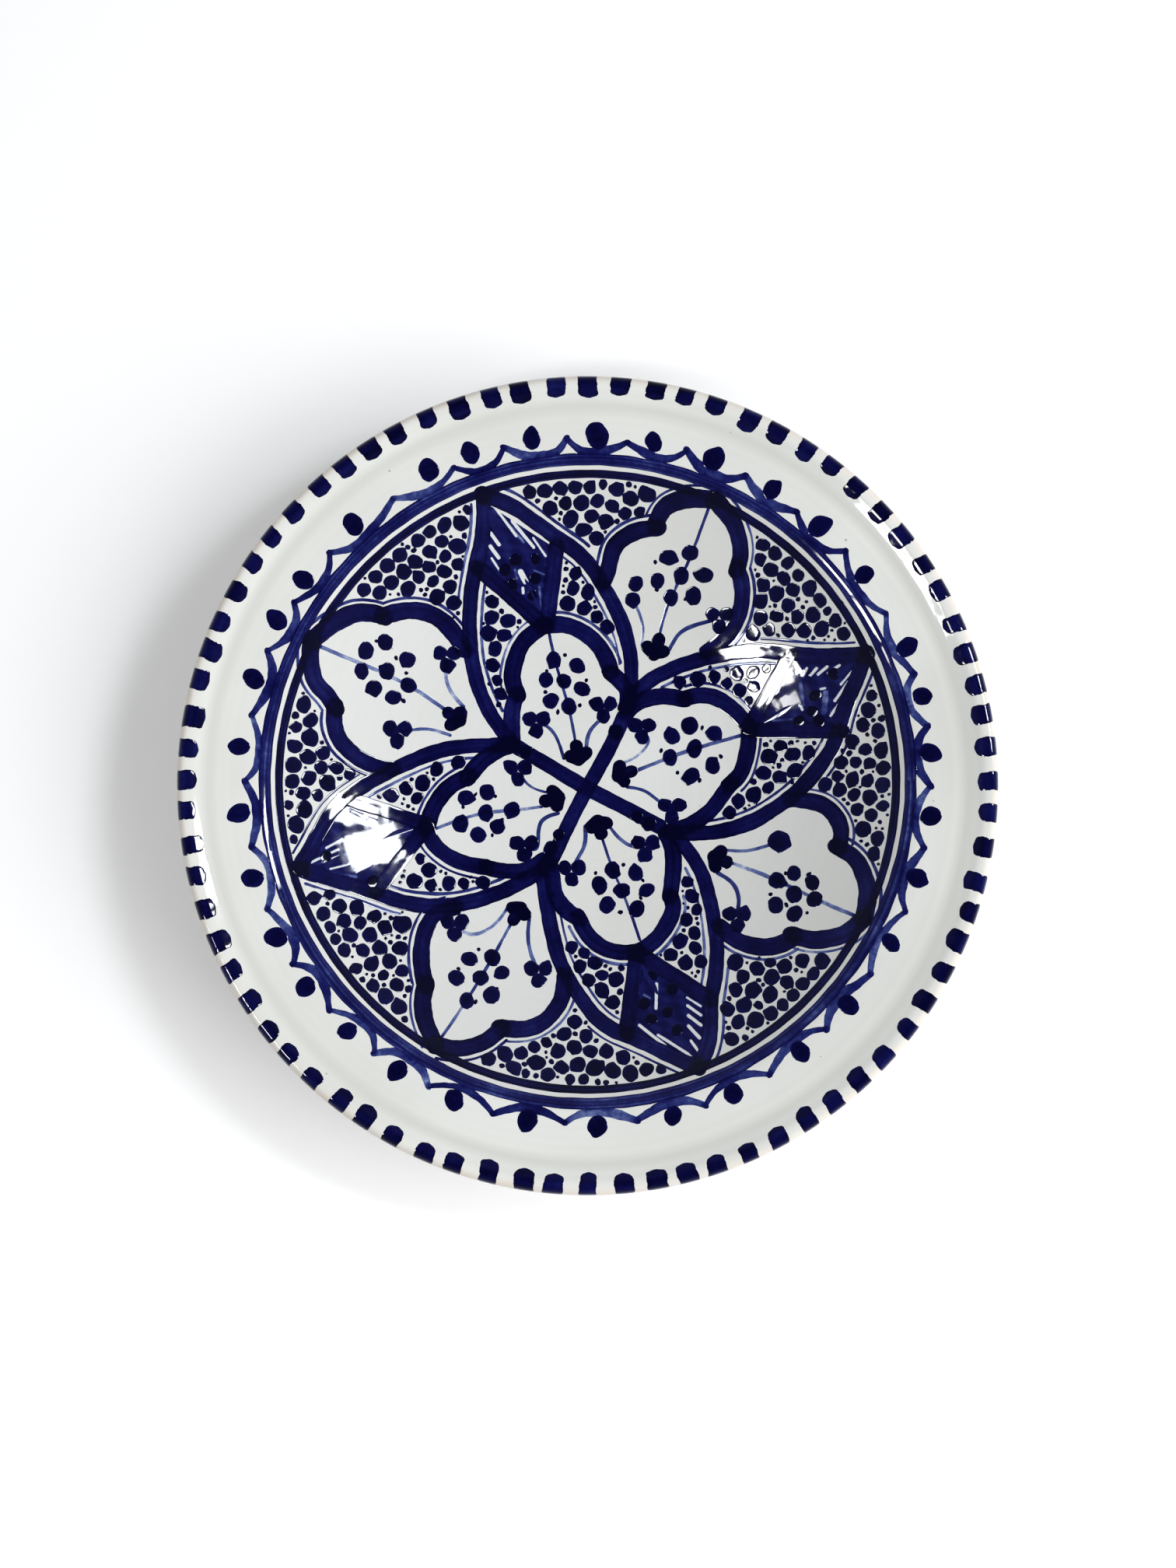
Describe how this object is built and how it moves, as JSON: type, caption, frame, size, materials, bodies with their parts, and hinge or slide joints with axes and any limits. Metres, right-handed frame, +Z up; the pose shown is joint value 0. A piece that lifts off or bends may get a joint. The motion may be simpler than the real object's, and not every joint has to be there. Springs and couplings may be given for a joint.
{
  "type": "decorated ceramic plate",
  "caption": "Round deep plate of white glazed earthenware on a foot ring, with cobalt brushwork: petals, leaves and dots in the well and dashes over the lip.",
  "frame": {"origin": "centre of the foot ring's resting plane", "axes": "+Z up along the plate's axis, +Y towards the pattern's north, +X towards its east"},
  "size_m": [0.3004, 0.3004, 0.0502],
  "materials": {
    "clay": "bare fired earthenware, matte",
    "glaze": "white tin glaze, glossy, with pinholes and small specks",
    "cobalt": "dense cobalt under gloss, near black where strokes overlap",
    "cobalt_wash": "thin watery cobalt under gloss"
  },
  "bodies": {
    "root": {"clay_body": "clay", "front_glaze": "glaze", "back_glaze": "glaze", "foot_well_glaze": "glaze", "rim_dashes": "cobalt", "centre_cross": "cobalt", "inner_petals": "cobalt", "leaf_outlines": "cobalt", "outer_petals": "cobalt", "lozenge_frames": "cobalt", "lozenge_fills": "cobalt", "inner_band": "cobalt", "outer_band": "cobalt", "stamen_blots": "cobalt", "border_drops": "cobalt", "stamen_tips": "cobalt", "petal_dots": "cobalt", "ground_dots": "cobalt", "ground_specks": "cobalt", "garland": "cobalt_wash", "stamen_lines": "cobalt_wash", "contour_lines": "cobalt_wash"}
  },
  "joints": []
}
